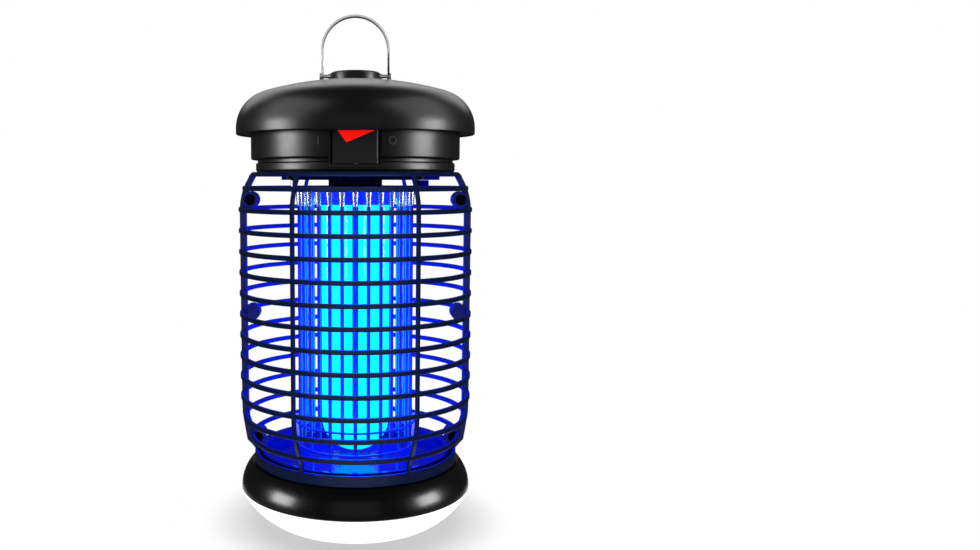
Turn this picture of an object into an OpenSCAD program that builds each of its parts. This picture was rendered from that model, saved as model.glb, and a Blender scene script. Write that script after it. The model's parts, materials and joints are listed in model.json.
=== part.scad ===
// Electric bug zapper: a hanging lantern with an ultraviolet lamp inside a high-voltage wire
// grid, a slatted cage round both, a switch and electronics in the neck, and a twist-off base
// with the insect tray on top and a white night light below.
// Z is up, the foot of the diffuser stands at Z = 0 and the switch faces -Y.

/* [Base] */
// Radius of the flat foot of the diffuser
foot_r = 45; // [40:0.5:50]
// Radius of the diffuser at its top edge
diffuser_r = 67.7; // [66:0.1:68]
// Height of the diffuser
diffuser_h = 21; // [18:0.5:22]
// Radius of the base shell at its lower lip
base_r = 68.3; // [68:0.1:69]
// Radius of the round flank of the base shell
flank_r = 23; // [22:0.5:24]

/* [Cage] */
// Outer radius of the cage posts along the straight middle
cage_r = 67.9; // [67:0.1:68.5]
// Number of hoops
hoop_count = 13; // [9:2:15]
// Height of the lowest hoop's middle above the ground
hoop_first_z = 51.8; // [50:0.1:53]
// Height of the highest hoop's middle above the ground
hoop_last_z = 198.2; // [196:0.1:199]
// Height of one hoop
hoop_h = 2.7; // [2:0.1:3.5]
// Thickness of one hoop along the radius
hoop_t = 2.3; // [2:0.1:3]
// Width of one post
post_w = 2.1; // [1.8:0.1:3]
// Outer radius of the ring at the foot of the cage
ring_r = 60.3; // [60:0.1:60.6]

/* [Grid and lamp] */
// Number of grid wires, an even number
wire_count = 28; // [20:4:32]
// Radius of the circle on which the wires stand
grid_r = 33.1; // [32:0.1:34]
// Radius of one wire
wire_r = 1.05; // [0.7:0.05:1.2]
// Radius of one leg of the lamp
leg_r = 9.1; // [8:0.1:9.4]
// Distance from the lamp's axis to the middle of a leg
leg_x = 10.9; // [10.4:0.1:11.2]
// Height of the lowest point of the lamp above the ground
lamp_z = 41; // [40:0.5:48]
// Height of the lower face of the lamp's base
lamp_base_z = 188.6; // [188:0.1:189]

/* [Neck and cap] */
// Height of the lower face of the neck
neck_z = 207.6; // [207.4:0.1:207.8]
// Outer radius of the neck's main band
neck_r = 60.7; // [60.5:0.1:61]
// Outer radius of the cap's skirt
cap_r = 69.2; // [69:0.1:70]
// Height of the cap's rim
cap_rim_z = 228.7; // [228.5:0.1:229]
// Height of the cap's crown
crown_z = 260.8; // [260:0.1:261.5]
// Radius of the cap's round shoulder
shoulder_r = 21.6; // [20:0.1:23]

/* [Bail] */
// Half of the bail's outer width
bail_r = 19.7; // [19:0.1:21]
// Thickness of the bail's strip
bail_t = 1.3; // [1:0.1:1.6]
// Width of the bail's strip
bail_w = 4.6; // [4:0.1:4.8]
// Height of the bail's pivots
pivot_z = 262.7; // [262.5:0.1:263]
// Straight length of a bail leg above its pivot
bail_leg = 15; // [12:0.5:20]

/* [Switch] */
// Angle by which the rocker is pressed to either side
rocker_tilt = 7; // [4:0.5:8]
// Half of the rocker's width
rocker_hw = 12.3; // [11:0.1:12.4]

/* [Hidden] */
$fn = 96;
eps = 0.01;

// Shared fits
touch = 0.05;        // gap between pieces that are pressed or seated together
running = 0.05;      // radial clearance of a turning fit

// Self-tapping screws
screw_r = 1.25;
screw_head_r = 2.6;
thread_r = 1.3;

// Base levels
wall = 2.4;
seam_z = 37.1;                          // lower face of the cage
base_top_z = seam_z - 0.3;
deck_z = 33.6;                          // lower face of the deck between tray and night light
deck_t = 2;
collar_r = 56.5;                        // outer radius of the bayonet collar
collar_t = 1.4;
collar_top_z = 42.6;
lug_angle = 14;
twist_angle = 22;                       // turn that frees the base
lug_r = 58;
lug_count = 3;
lug_z = 40.05;
lug_t = 1.8;
led_board_z = 30;
led_board_t = 1.6;
led_board_top = led_board_z + led_board_t;
base_screw_r = 44;
tray_z = 35.9;                          // lower face of the insect tray
tray_t = 1.5;
tray_rim_z = 43.8;
tray_r = collar_r - collar_t - 0.4;

// Cage levels
ring_top_z = 43.3;
ring_t = 2;
ring_in_r = ring_r - ring_t;
hoop_pitch = (hoop_last_z - hoop_first_z) / (hoop_count - 1);
hoop_out = 0.4;                         // how far a hoop stands out from the posts
post_t = 2.2;
cage_mid_low = 78;                      // the cage narrows below this height
cage_mid_high = 185;                    // and above this one
low_bend_r = 62;
high_bend_r = 38;
catch_r = 56.9;                         // inner radius of the bayonet catches
catch_z = 38.2;                         // lower face of the bayonet catches
collar_ring_z = 205;                    // lower face of the ring under the neck
boss_r = 4.8;
boss_d = 7;
high_boss = [61.3, 191.6];
low_boss = [58.4, 50.4];
mid_boss = [61.3, (hoop_first_z + hoop_last_z) / 2];
peg_r = 1.5;
peg_len = 4;                            // how far the locating peg reaches into the rear half
cage_post_angles = [-150, -30, 30, 150];
seam_t = 2.1;                           // thickness of one half's seam rib
seam_depth = 3.9;                       // depth of the seam rib along the radius
spine_w = 7.6;                          // width of the cable channel at the back
spine_t = 5;
neck_screw_r = 54.4;

// Grid levels
insulator_z = 196.3;
insulator_t = 3;
insulator_r = 40;
ferrule_h = 8;
live_ring_z = 60.3;
live_ring_r = grid_r + 2.6;
neutral_ring_z = 47;
neutral_ring_r = grid_r + 1.8;
grid_ring_wire = 0.6;
wire_top_z = insulator_z + insulator_t - 0.3;
wire_pitch = 360 / wire_count;
spacer_angles = [for (k = [7.5, 12.5, -12.5, -7.5]) k * wire_pitch];
pillar_x = 36.3;
cover_z = 203;                          // lower face of the wiring cover

// Lamp
glass_t = 1;
bend_z = lamp_z + leg_x + leg_r;
lamp_base_size = [42.5, 20.5];
lamp_base_h = 11;
lamp_base_top = lamp_base_z + lamp_base_h;
pin_r = 1.15;
pin_len = 6.7;
pin_places = [[-4.7, -3.5], [4.7, -3.5], [-4.7, 3.5], [4.7, 3.5]];
socket_size = [31, 19];
socket_top_z = 213;
socket_screw_x = 19;

// Neck and cap levels
neck_floor_t = 2;
floor_z = neck_z + neck_floor_t;        // upper face of the neck's floor
flange_z = 229.3;
flange_t = 3;
flange_r = 66.4;
spigot_r = 61.1;
spigot_top_z = 236.5;
seal_z = 234.3;
cap_t = 2.4;
crown_r = 192.3;
shoulder_c = [cap_r - shoulder_r, 232.4];
tangent_a = asin(shoulder_c[0] / (crown_r - shoulder_r));
cap_screw_r = 63.6;
hub_r = 14.4;
hub_seat_z = 259.7;
hub_top_z = 265;
hub_pin_r = 1.1;

// Switch
notch_hw = 13.95;
switch_pivot_y = -56;
rocker_face_y = -60;
rocker_z = 211.6;
rocker_top = 229;
switch_wall = 0.7;

// Electronics
board_z = 218;
board_t = 1.6;
board_top = board_z + board_t;
board_posts = [[-34, -27], [34, -27], [-34, 33], [34, 33]];
choke_c = [-17, 2];
gland_z = 222.2;
gland_bore_r = 3.2;
gland_seat_y = 59.9;

// Outer radius of the posts at height z
function post_r(z) =
    z > cage_mid_high ? cage_r - high_bend_r + sqrt(pow(high_bend_r, 2) - pow(z - cage_mid_high, 2))
    : z < cage_mid_low
    ? max(ring_r, cage_r - low_bend_r + sqrt(pow(low_bend_r, 2) - pow(z - cage_mid_low, 2)))
    : cage_r;

// Heights at which the curved stretches of the cage are drawn
low_steps = [for (z = [ring_top_z + 4 : 4 : cage_mid_low]) z];
high_steps = [for (z = [cage_mid_high : 3 : neck_z - 1]) z];
post_steps = concat([ring_top_z - 0.7], low_steps, high_steps, [neck_z - touch]);

// Points of an arc in the plane of a profile
function arc(c, r, a0, a1, n = 8) = [for (i = [0 : n])
    let (a = a0 + (a1 - a0) * i / n) c + r * [cos(a), sin(a)]];

// A curved bar between two offsets inside the posts' outer curve
function post_outline(outer, inner) = concat(
    [for (z = post_steps) [post_r(z) - outer, z]],
    [for (i = [len(post_steps) - 1 : -1 : 0]) [post_r(post_steps[i]) - inner, post_steps[i]]]);

// Stands an outline of radius and height up at an angle round the axis; angle 0 is the front
module radial_plate(angle, width) {
    rotate([0, 0, angle - 90]) translate([0, width / 2, 0])
        rotate([90, 0, 0]) linear_extrude(width) children();
}

// A revolved outline that spans only part of the circle, centred on an angle
module ring_sector(angle, span) {
    rotate([0, 0, angle - 90 - span / 2]) rotate_extrude(angle = span) children();
}

// A flat plate with round corners
module round_plate(size, r, h) {
    linear_extrude(h) {
        square([size[0] - 2 * r, size[1]], center = true);
        square([size[0], size[1] - 2 * r], center = true);
        for (sx = [-1, 1], sy = [-1, 1])
            translate([sx * (size[0] / 2 - r), sy * (size[1] / 2 - r)]) circle(r, $fn = 32);
    }
}

// A cylinder along X or Y that starts at the origin
module along_y(r, h) { rotate([-90, 0, 0]) cylinder(r = r, h = h, $fn = 32); }
module along_x(r, h) { rotate([0, 90, 0]) cylinder(r = r, h = h, $fn = 32); }

// The four screws between the neck's floor and the cage
module at_neck_screws() {
    for (a = [40, 140, 220, 320]) rotate([0, 0, a - 90]) translate([neck_screw_r, 0, 0]) children();
}

// The three screws of the night light's board
module at_base_screws() {
    for (a = [60 : 120 : 300]) rotate([0, 0, a]) translate([base_screw_r, 0, 0]) children();
}

// The four screws between the neck's upper flange and the cap
module at_cap_screws() {
    for (a = [45 : 90 : 315]) rotate([0, 0, a]) translate([cap_screw_r, 0, 0]) children();
}

// A round wire bent to a ring
module wire_ring(ring, wire, z) {
    translate([0, 0, z]) rotate_extrude() translate([ring, 0]) circle(wire, $fn = 24);
}

// ---- Bail and hub ----

module hanging_bail() color("silver") {
    arch_z = pivot_z + bail_leg;
    difference() {
        union() {
            translate([0, 0, arch_z]) rotate([90, 0, 0]) rotate_extrude(angle = 180)
                translate([bail_r - bail_t, -bail_w / 2]) square([bail_t, bail_w]);
            for (s = [-1, 1]) translate([s > 0 ? bail_r - bail_t : -bail_r, 0, 0]) {
                translate([0, -bail_w / 2, pivot_z]) cube([bail_t, bail_w, bail_leg]);
                translate([0, 0, pivot_z]) along_x(bail_w / 2, bail_t);
            }
        }
        translate([-bail_r - 1, 0, pivot_z]) along_x(hub_pin_r + running, 2 * bail_r + 2);
    }
}

module bail_pins() color("dimgray") {
    for (s = [0, 1]) mirror([s, 0, 0]) translate([0, 0, pivot_z]) {
        translate([hub_r - 6, 0, 0]) along_x(hub_pin_r, bail_r - hub_r + 6.3);
        translate([bail_r + 0.2, 0, 0]) along_x(1.9, 0.8);
        translate([hub_r + touch, 0, 0]) along_x(1.6, 1);
    }
}

module bail_hub() color("#1a1a1b") {
    edge = 1.4;
    difference() {
        union() {
            rotate_extrude() polygon(concat(
                [[0, hub_seat_z + touch], [hub_r, hub_seat_z + touch]],
                arc([hub_r - edge, hub_top_z - edge], edge, 0, 90, 5),
                [[0, hub_top_z]]));
            translate([0, 0, 256.6]) cylinder(r = 5, h = 4, $fn = 48);
        }
        for (s = [-1, 1]) translate([s > 0 ? hub_r - 6.2 : -hub_r - 1, 0, pivot_z])
            along_x(hub_pin_r + touch, 7.2);
        translate([0, 0, 256]) cylinder(r = 1.9, h = 6, $fn = 32);
    }
}

module hub_screw() color("silver") {
    head_z = 256.3;
    translate([0, 0, head_z - 0.9]) cylinder(r = 8, h = 0.9, $fn = 48);
    translate([0, 0, head_z - 3.1]) cylinder(r = 3.6, h = 2.2, $fn = 32);
    translate([0, 0, head_z - 1]) cylinder(r = 1.85, h = 6, $fn = 32);
}

// ---- Cap ----

// Outline of the cap's outer face from the crown to the rim, moved inwards by a wall
function cap_face(inset, n = 14) = concat(
    arc([0, crown_z - crown_r], crown_r - inset, 90, 90 - tangent_a, n),
    arc(shoulder_c, shoulder_r - inset, 90 - tangent_a, 0, n));

function reversed(list) = [for (i = [len(list) - 1 : -1 : 0]) list[i]];

module cap_solid() {
    rotate_extrude() polygon(concat(cap_face(0.4), [[cap_r - 0.4, cap_rim_z], [0, cap_rim_z]]));
}

module top_cap() color("#19191a") {
    rib_r = spigot_r + 0.25;
    difference() {
        union() {
            rotate_extrude() polygon(concat(cap_face(0),
                arc([cap_r - 0.8, cap_rim_z + 0.8], 0.8, 0, -90, 4),
                [[cap_r - cap_t, cap_rim_z]],
                reversed(cap_face(cap_t))));
            intersection() {
                union() {
                    translate([0, 0, 256.4]) cylinder(r = 18, h = 3.4);
                    difference() {
                        translate([0, 0, 233]) cylinder(r = rib_r + 1.4, h = 20);
                        translate([0, 0, 230]) cylinder(r = rib_r, h = 25);
                    }
                    at_cap_screws() translate([0, 0, flange_z + flange_t + touch])
                        cylinder(r = 3, h = 15, $fn = 32);
                }
                cap_solid();
            }
        }
        translate([0, 0, 230]) cylinder(r = rib_r, h = 10);
        translate([0, 0, hub_seat_z]) cylinder(r = hub_r + 0.15, h = 5);
        translate([0, 0, 250]) cylinder(r = 5.1, h = 12, $fn = 48);
        at_cap_screws() translate([0, 0, 230]) cylinder(r = thread_r, h = 8, $fn = 24);
    }
}

module cap_seal() color("#2b2b2b") {
    wire_ring(60.75, 0.55, seal_z);
}

module cap_screws() color("gray") {
    at_cap_screws() translate([0, 0, flange_z + 0.1]) {
        cylinder(r = 2.3, h = 1.2, $fn = 32);
        cylinder(r = screw_r, h = 7.5, $fn = 24);
    }
}

// ---- Neck ----

module neck_shell() {
    rotate_extrude() polygon([
        [0, neck_z], [56.6, neck_z], [57.9, neck_z + 1.2], [57.9, 212.6], [56.8, 213.1], [56.8, 214.3],
        [59.4, 214.3], [neck_r, 215.8], [neck_r, flange_z], [flange_r, flange_z],
        [flange_r, flange_z + flange_t], [spigot_r, flange_z + flange_t], [spigot_r, seal_z - 0.7],
        [60.15, seal_z - 0.7], [60.15, seal_z + 0.7], [spigot_r, seal_z + 0.7],
        [spigot_r, spigot_top_z], [58.3, spigot_top_z], [58.3, 217], [54.6, 214.8],
        [54.6, floor_z], [0, floor_z]]);
}

module neck_housing() color("#1b1b1c") {
    difference() {
        union() {
            neck_shell();
            for (p = board_posts) translate([p[0], p[1], floor_z - eps])
                cylinder(r = 3, h = board_z - floor_z + eps, $fn = 32);
            at_neck_screws() translate([0, 0, floor_z - eps]) cylinder(r = 3, h = 4, $fn = 32);
            translate([0, 54.4, gland_z]) along_y(8, 4.5);
        }
        // Switch notch
        translate([-notch_hw, -62, floor_z]) cube([2 * notch_hw, 15, flange_z - floor_z]);
        // Lamp socket
        translate([0, 0, neck_z - 1]) round_plate(socket_size + [0.4, 0.4], 1.2, 5);
        // Seat and hole of the cord gland
        translate([0, gland_seat_y, gland_z]) along_y(7, 5);
        translate([0, 50, gland_z]) along_y(5.1, 12);
        // Screw holes
        for (p = board_posts) translate([p[0], p[1], board_z - 7])
            cylinder(r = thread_r, h = 8, $fn = 24);
        at_neck_screws() translate([0, 0, neck_z - 1]) cylinder(r = thread_r, h = 6, $fn = 24);
        for (x = [socket_screw_x, pillar_x], s = [-1, 1]) translate([s * x, 0, neck_z - 1])
            cylinder(r = thread_r, h = 4, $fn = 24);
        at_cap_screws() translate([0, 0, flange_z - 1]) {
            cylinder(r = 1.5, h = 6, $fn = 24);
            cylinder(r = 2.45, h = 2.4, $fn = 32);
        }
    }
}

module switch_body() color("#161616") {
    hw = notch_hw - 0.1;
    in_hw = hw - switch_wall;
    difference() {
        translate([-hw, -59, floor_z + 0.1]) cube([2 * hw, 11, flange_z - floor_z - 0.2]);
        difference() {
            translate([-in_hw, -60, rocker_z - 0.3]) cube([2 * in_hw, 10.6, 20]);
            // Bridge that holds the upper end of the pivot
            translate([-3, -57.9, 227.6]) cube([6, 9, 3]);
        }
        translate([0, switch_pivot_y, floor_z + 0.5]) cylinder(r = 1.15 + touch, h = 18.9, $fn = 32);
    }
}

module switch_terminals() color("#c9a24b") {
    for (x = [-8, 0, 8]) translate([x - 0.4, -48 + touch, 217]) cube([0.8, 6.5, 6]);
}

module at_switch_pivot(angle) {
    translate([0, switch_pivot_y, 0]) rotate([0, 0, angle])
        translate([0, -switch_pivot_y, 0]) children();
}

// The wedge lies in the rocker's face just under its top edge
module wedge(depth, proud) {
    translate([0, rocker_face_y + depth, 0]) rotate([90, 0, 0]) linear_extrude(depth + proud)
        polygon([[-8.8, rocker_top - 0.3], [10.8, rocker_top - 0.3], [-4.1, 222.6]]);
}

module switch_rocker() color("#181818") at_switch_pivot(-rocker_tilt) {
    h = rocker_top - rocker_z;
    edge = 0.5;
    difference() {
        union() {
            // Face with chamfered edges
            translate([0, 0, rocker_z]) linear_extrude(h) polygon([
                [-rocker_hw, rocker_face_y + edge], [-rocker_hw + edge, rocker_face_y],
                [rocker_hw - edge, rocker_face_y], [rocker_hw, rocker_face_y + edge],
                [rocker_hw, -55], [rocker_hw - 1.3, -55], [rocker_hw - 1.3, rocker_face_y + 1.4],
                [-rocker_hw + 1.3, rocker_face_y + 1.4], [-rocker_hw + 1.3, -55], [-rocker_hw, -55]]);
            translate([0, switch_pivot_y, rocker_z]) cylinder(r = 2.4, h = 15.6, $fn = 32);
            translate([-1.8, rocker_face_y + 1.2, rocker_z]) cube([3.6, 2.8, 15.6]);
        }
        translate([0, switch_pivot_y, rocker_z - 1]) cylinder(r = 1.15 + running, h = 20, $fn = 32);
        wedge(0.8, 1);
    }
}

module rocker_indicator() color("red") at_switch_pivot(-rocker_tilt) {
    wedge(0.8, 0.05);
}

module rocker_pivot() color("silver") {
    translate([0, switch_pivot_y, floor_z + 0.6]) cylinder(r = 1.15, h = 18.6, $fn = 32);
}

// A stroke for on and a ring for off, raised on the neck's round face
module switch_marks() color("#2a2a2b") {
    intersection() {
        difference() {
            translate([0, 0, 216]) cylinder(r = neck_r + 0.25, h = 14);
            translate([0, 0, 215]) cylinder(r = neck_r + 0.01, h = 16);
        }
        union() {
            rotate([0, 0, -18.6]) translate([-0.5, -64, 221.4]) cube([1, 6, 4.6]);
            rotate([0, 0, 18.6]) translate([0, -58, 223.7]) rotate([90, 0, 0]) difference() {
                cylinder(r = 2.3, h = 6, $fn = 40);
                translate([0, 0, -1]) cylinder(r = 1.5, h = 8, $fn = 40);
            }
        }
    }
}

module cord_gland() color("#202021") {
    difference() {
        union() {
            translate([0, gland_seat_y + touch, gland_z]) along_y(6.8, 2.6);
            translate([0, gland_seat_y + 2.6, gland_z]) rotate([-90, 0, 0])
                cylinder(r1 = 6, r2 = 4.8, h = 5, $fn = 48);
            translate([0, 50, gland_z]) along_y(4.9, 10.5);
        }
        translate([0, 48, gland_z]) along_y(gland_bore_r, 22);
    }
}

module gland_nut() color("#202021") {
    translate([0, 51.3, gland_z]) rotate([-90, 30, 0]) difference() {
        cylinder(r = 8, h = 3, $fn = 6);
        translate([0, 0, -1]) cylinder(r = 4.95, h = 5, $fn = 48);
    }
}

// ---- Electronics on the neck's floor ----

module driver_board() color("darkgreen") {
    difference() {
        translate([0, 3, board_z]) round_plate([76, 68], 3, board_t);
        for (p = board_posts) translate([p[0], p[1], board_z - 1]) cylinder(r = 1.6, h = 4, $fn = 24);
    }
}

module board_screws() color("silver") {
    for (p = board_posts) translate([p[0], p[1], board_z]) {
        translate([0, 0, board_t]) cylinder(r = screw_head_r, h = 1.8, $fn = 32);
        translate([0, 0, -6]) cylinder(r = screw_r, h = 8, $fn = 24);
    }
}

module choke_core() color("dimgray") {
    translate([choke_c[0], choke_c[1], board_top]) {
        difference() {
            translate([-16, -6, 0]) cube([32, 12, 27]);
            for (s = [-1, 1]) translate([s * 8.5 - 3.5, -7, 5]) cube([7, 14, 17]);
        }
    }
}

module choke_winding() color("#b5652a") {
    translate([choke_c[0], choke_c[1], board_top + 5.2]) difference() {
        round_plate([23.6, 23], 3, 16.6);
        translate([-5.1, -6.1, -1]) cube([10.2, 12.2, 19]);
    }
}

module film_capacitors() color("#8c3b1e") {
    for (y = [-18, -6, 6, 18], x = [14, 26]) translate([x, y, board_top])
        cylinder(r = 4.2, h = x < 20 ? 18 : 13, $fn = 40);
}

module terminal_block() color("#d9d9d2") {
    translate([-12, 26, board_top]) difference() {
        cube([24, 10, 11]);
        for (x = [4, 12, 20]) {
            translate([x, -1, 4]) along_y(1.6, 12);
            translate([x, 5, 6]) cylinder(r = 1.9, h = 6, $fn = 24);
        }
    }
}

// ---- Lamp socket and insulator ----

module wiring_cover() color("#16224a") {
    h = neck_z - cover_z - touch;
    t = 1.4;
    difference() {
        translate([-42, -16, cover_z]) cube([90, 32, h]);
        difference() {
            translate([-42 + t, -16 + t, cover_z + t]) cube([90 - 2 * t, 32 - 2 * t, 6]);
            for (s = [-1, 1]) translate([s * pillar_x, 0, 200]) cylinder(r = 3.4, h = 10, $fn = 32);
        }
        translate([0, 0, 200]) round_plate(socket_size + [0.4, 0.4], 1.2, 10);
        for (s = [-1, 1]) translate([s * pillar_x, 0, 200]) cylinder(r = 1.6, h = 10, $fn = 24);
    }
}

module hv_terminal() color("#0c1020") {
    difference() {
        translate([33.6, -14, 199.5]) cube([8.4, 10, 3.4]);
        for (y = [-11.5, -6.5]) translate([37.8, y, 198]) cylinder(r = 1.2, h = 6, $fn = 24);
    }
}

module lamp_socket() color("#1c2d6b") {
    z0 = lamp_base_top + 0.1;
    difference() {
        union() {
            translate([0, 0, z0]) round_plate(socket_size, 1, socket_top_z - z0);
            translate([0, 0, floor_z + touch]) round_plate([44, 12], 2, 2);
        }
        for (p = pin_places) translate([p[0], p[1], z0 - 1]) cylinder(r = 1.75, h = 10, $fn = 32);
        for (s = [-1, 1]) translate([s * socket_screw_x, 0, floor_z - 1])
            cylinder(r = 1.5, h = 6, $fn = 24);
    }
}

module socket_screws() color("silver") {
    for (s = [-1, 1]) translate([s * socket_screw_x, 0, floor_z]) {
        translate([0, 0, 2.1]) cylinder(r = 2.2, h = 1.4, $fn = 32);
        translate([0, 0, -1.8]) cylinder(r = screw_r, h = 4.2, $fn = 24);
    }
}

module socket_contacts() color("#c9a24b") {
    for (p = pin_places) translate([p[0], p[1], lamp_base_top + 0.4]) difference() {
        cylinder(r = 1.7, h = 8, $fn = 32);
        translate([0, 0, -1]) cylinder(r = pin_r + touch, h = 8, $fn = 32);
    }
}

module lamp_base() color("white") {
    difference() {
        translate([0, 0, lamp_base_z]) round_plate(lamp_base_size, 5, lamp_base_h);
        for (s = [-1, 1]) translate([s * leg_x, 0, lamp_base_z - 1])
            cylinder(r = leg_r + touch, h = 7, $fn = 64);
        for (p = pin_places) translate([p[0], p[1], lamp_base_top - 3])
            cylinder(r = pin_r + touch, h = 4, $fn = 32);
    }
}

module lamp_pins() color("#d4af37") {
    for (p = pin_places) translate([p[0], p[1], lamp_base_top - 2.9]) {
        cylinder(r = pin_r, h = pin_len + 2.1, $fn = 32);
        translate([0, 0, pin_len + 2.1]) cylinder(r1 = pin_r, r2 = 0.6, h = 0.7, $fn = 32);
    }
}

// One glass tube bent to a U, as two legs and a half ring
module lamp_bore(r, top) {
    for (s = [-1, 1]) translate([s * leg_x, 0, bend_z]) cylinder(r = r, h = top - bend_z, $fn = 64);
    translate([0, 0, bend_z]) rotate([-90, 0, 0]) rotate_extrude(angle = 180)
        translate([leg_x, 0]) circle(r, $fn = 64);
}

module lamp_tube() color("cyan") {
    difference() {
        lamp_bore(leg_r, lamp_base_z + 5.8);
        lamp_bore(leg_r - glass_t, lamp_base_z + 7);
    }
}

module at_wires(first, step) {
    for (i = [first : step : wire_count - 1])
        rotate([0, 0, i * wire_pitch]) translate([0, -grid_r, 0]) children();
}

module upper_insulator() color("#22356f") {
    difference() {
        translate([0, 0, insulator_z]) cylinder(r = insulator_r, h = insulator_t);
        translate([0, 0, insulator_z - 1]) round_plate(lamp_base_size + [0.6, 0.6], 5.3, 6);
        at_wires(0, 1) translate([0, 0, insulator_z - 1]) cylinder(r = wire_r + touch, h = 6, $fn = 24);
        for (s = [-1, 1]) translate([s * pillar_x, 0, insulator_z - 1])
            cylinder(r = thread_r, h = 6, $fn = 24);
    }
}

module insulator_pillars() color("#b8bcc4") {
    top = insulator_z + insulator_t;
    for (s = [-1, 1]) translate([s * pillar_x, 0, 0]) {
        translate([0, 0, top]) cylinder(r = 1.7, h = cover_z - top - touch, $fn = 24);
        translate([0, 0, insulator_z + 0.2])
            cylinder(r = screw_r, h = neck_z + 1.6 - insulator_z, $fn = 24);
    }
}

// Every second wire, welded by short pegs to a ring that runs round the outside
module electrode(first, ring, ring_z, tail) {
    at_wires(first, 2) {
        translate([0, 0, ring_z - tail]) cylinder(r = wire_r, h = wire_top_z - ring_z + tail, $fn = 24);
        translate([0, grid_r - ring, ring_z]) along_y(0.5, ring - grid_r);
    }
    wire_ring(ring, grid_ring_wire, ring_z);
}

module grid_live() color("#b9c2d6") {
    electrode(1, live_ring_r, live_ring_z, 7);
}

module grid_neutral() color("#9fa9c4") {
    electrode(0, neutral_ring_r, neutral_ring_z, 1.5);
}

module wire_ferrules() color("#dfe6f5") {
    at_wires(0, 1) translate([0, 0, insulator_z - ferrule_h - touch]) difference() {
        cylinder(r1 = wire_r + 0.25, r2 = 1.95, h = ferrule_h, $fn = 24);
        translate([0, 0, -1]) cylinder(r = wire_r + touch, h = ferrule_h + 2, $fn = 24);
    }
}

module grid_spacers() color("#e8ecf4") {
    for (a = spacer_angles) difference() {
        rotate([0, 0, a]) translate([-1.2, -37.4, neutral_ring_z - 1.6]) cube([2.4, 3.8, 16.5]);
        wire_ring(live_ring_r, grid_ring_wire + touch, live_ring_z);
        wire_ring(neutral_ring_r, grid_ring_wire + touch, neutral_ring_z);
    }
}

// ---- Cage ----

module hoop_profile(r) {
    c = 0.55;
    x0 = r + hoop_out - hoop_t;
    x1 = r + hoop_out;
    polygon([[x0, -hoop_h / 2 + c], [x0 + c, -hoop_h / 2], [x1 - c, -hoop_h / 2], [x1, -hoop_h / 2 + c],
        [x1, hoop_h / 2 - c], [x1 - c, hoop_h / 2], [x0 + c, hoop_h / 2], [x0, hoop_h / 2 - c]]);
}

// Seam rib: fuller than the other posts, so that it carries the screw bosses
module seam_outline() {
    polygon(concat(
        [[ring_in_r, ring_top_z - 1], [ring_r, ring_top_z - 1], [62.6, 45], [65, 47.6],
            [65.6, 51], [66.6, 57], [67.7, 64], [cage_r, 71]],
        [for (z = high_steps) [post_r(z), z]],
        [[post_r(neck_z), neck_z - touch], [post_r(neck_z) - seam_depth, neck_z - touch]],
        [for (i = [len(high_steps) - 1 : -1 : 0]) [post_r(high_steps[i]) - seam_depth, high_steps[i]]],
        [[cage_r - seam_depth, 72], [63.5, 62], [61, 53], [58.8, 47.6], [ring_in_r, 44.5]]));
}

// A catch or a stop inside the foot ring
module catch_profile(h) {
    translate([catch_r, catch_z]) square([ring_in_r - catch_r + eps, h]);
}

// One half of the cage, drawn for the front and turned for the rear
module cage_half(spans_rear) {
    side = spans_rear ? 180 : 0;
    posts = [for (a = cage_post_angles) if ((abs(a) > 90) == spans_rear) a];
    difference() {
        union() {
            for (i = [0 : hoop_count - 1]) translate([0, 0, hoop_first_z + i * hoop_pitch])
                ring_sector(side, 180) hoop_profile(post_r(hoop_first_z + i * hoop_pitch));
            for (a = posts) radial_plate(a, post_w) polygon(post_outline(0, post_t));
            for (a = [-90, 90]) intersection() {
                radial_plate(a, 2 * seam_t) seam_outline();
                rotate([0, 0, side]) translate([-100, -100, 0]) cube([200, 100, 300]);
            }
            // Ring at the foot
            ring_sector(side, 180) polygon([[ring_in_r, seam_z], [ring_r - 0.4, seam_z],
                [ring_r, seam_z + 0.4], [ring_r, ring_top_z - 0.6], [ring_r - 0.6, ring_top_z],
                [ring_in_r, ring_top_z]]);
            // Ring under the neck
            ring_sector(side, 180) polygon([[51.2, collar_ring_z], [62.4, collar_ring_z],
                [post_r(206.2), 206.2], [post_r(neck_z) - 0.4, neck_z - touch], [51.2, neck_z - touch]]);
            // Screw bosses
            for (p = [high_boss, low_boss], s = [-1, 1]) rotate([0, 0, side])
                translate([s * p[0], -boss_d, p[1]]) along_y(boss_r, boss_d);
            // Locating bosses halfway up: a peg on the front half enters a hole in the rear one
            for (s = [-1, 1]) rotate([0, 0, side]) {
                depth = spans_rear ? boss_d : seam_t;
                translate([s * mid_boss[0], -depth, mid_boss[1]]) along_y(boss_r, depth);
                if (!spans_rear) translate([s * mid_boss[0], -1, mid_boss[1]])
                    along_y(peg_r, peg_len + 1);
            }
            // Bayonet catches and their stops
            for (a = [for (i = [0 : lug_count - 1]) i * 360 / lug_count])
                if ((a > 90 && a < 270) == spans_rear) {
                    ring_sector(a, lug_angle) catch_profile(1.7);
                    for (stop = [-lug_angle / 2 - 2, twist_angle + lug_angle / 2 + 2])
                        ring_sector(a + stop, 2) catch_profile(4.6);
                }
        }
        // Screw holes: clearance and head recess in front, thread in the rear
        for (p = [high_boss, low_boss], s = [-1, 1]) translate([s * p[0], 0, p[1]]) {
            if (spans_rear) translate([0, -1, 0]) along_y(1.55, boss_d);
            else translate([0, -boss_d - 1, 0]) {
                along_y(1.7, boss_d + 2);
                along_y(3.1, 3);
            }
        }
        if (spans_rear) for (s = [-1, 1]) translate([s * mid_boss[0], -1, mid_boss[1]])
            along_y(peg_r + touch, peg_len + 1.5);
        at_neck_screws() translate([0, 0, collar_ring_z - 1]) cylinder(r = 1.5, h = 5, $fn = 24);
    }
}

module cage_front() color("#17254f") {
    cage_half(false);
}

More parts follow.
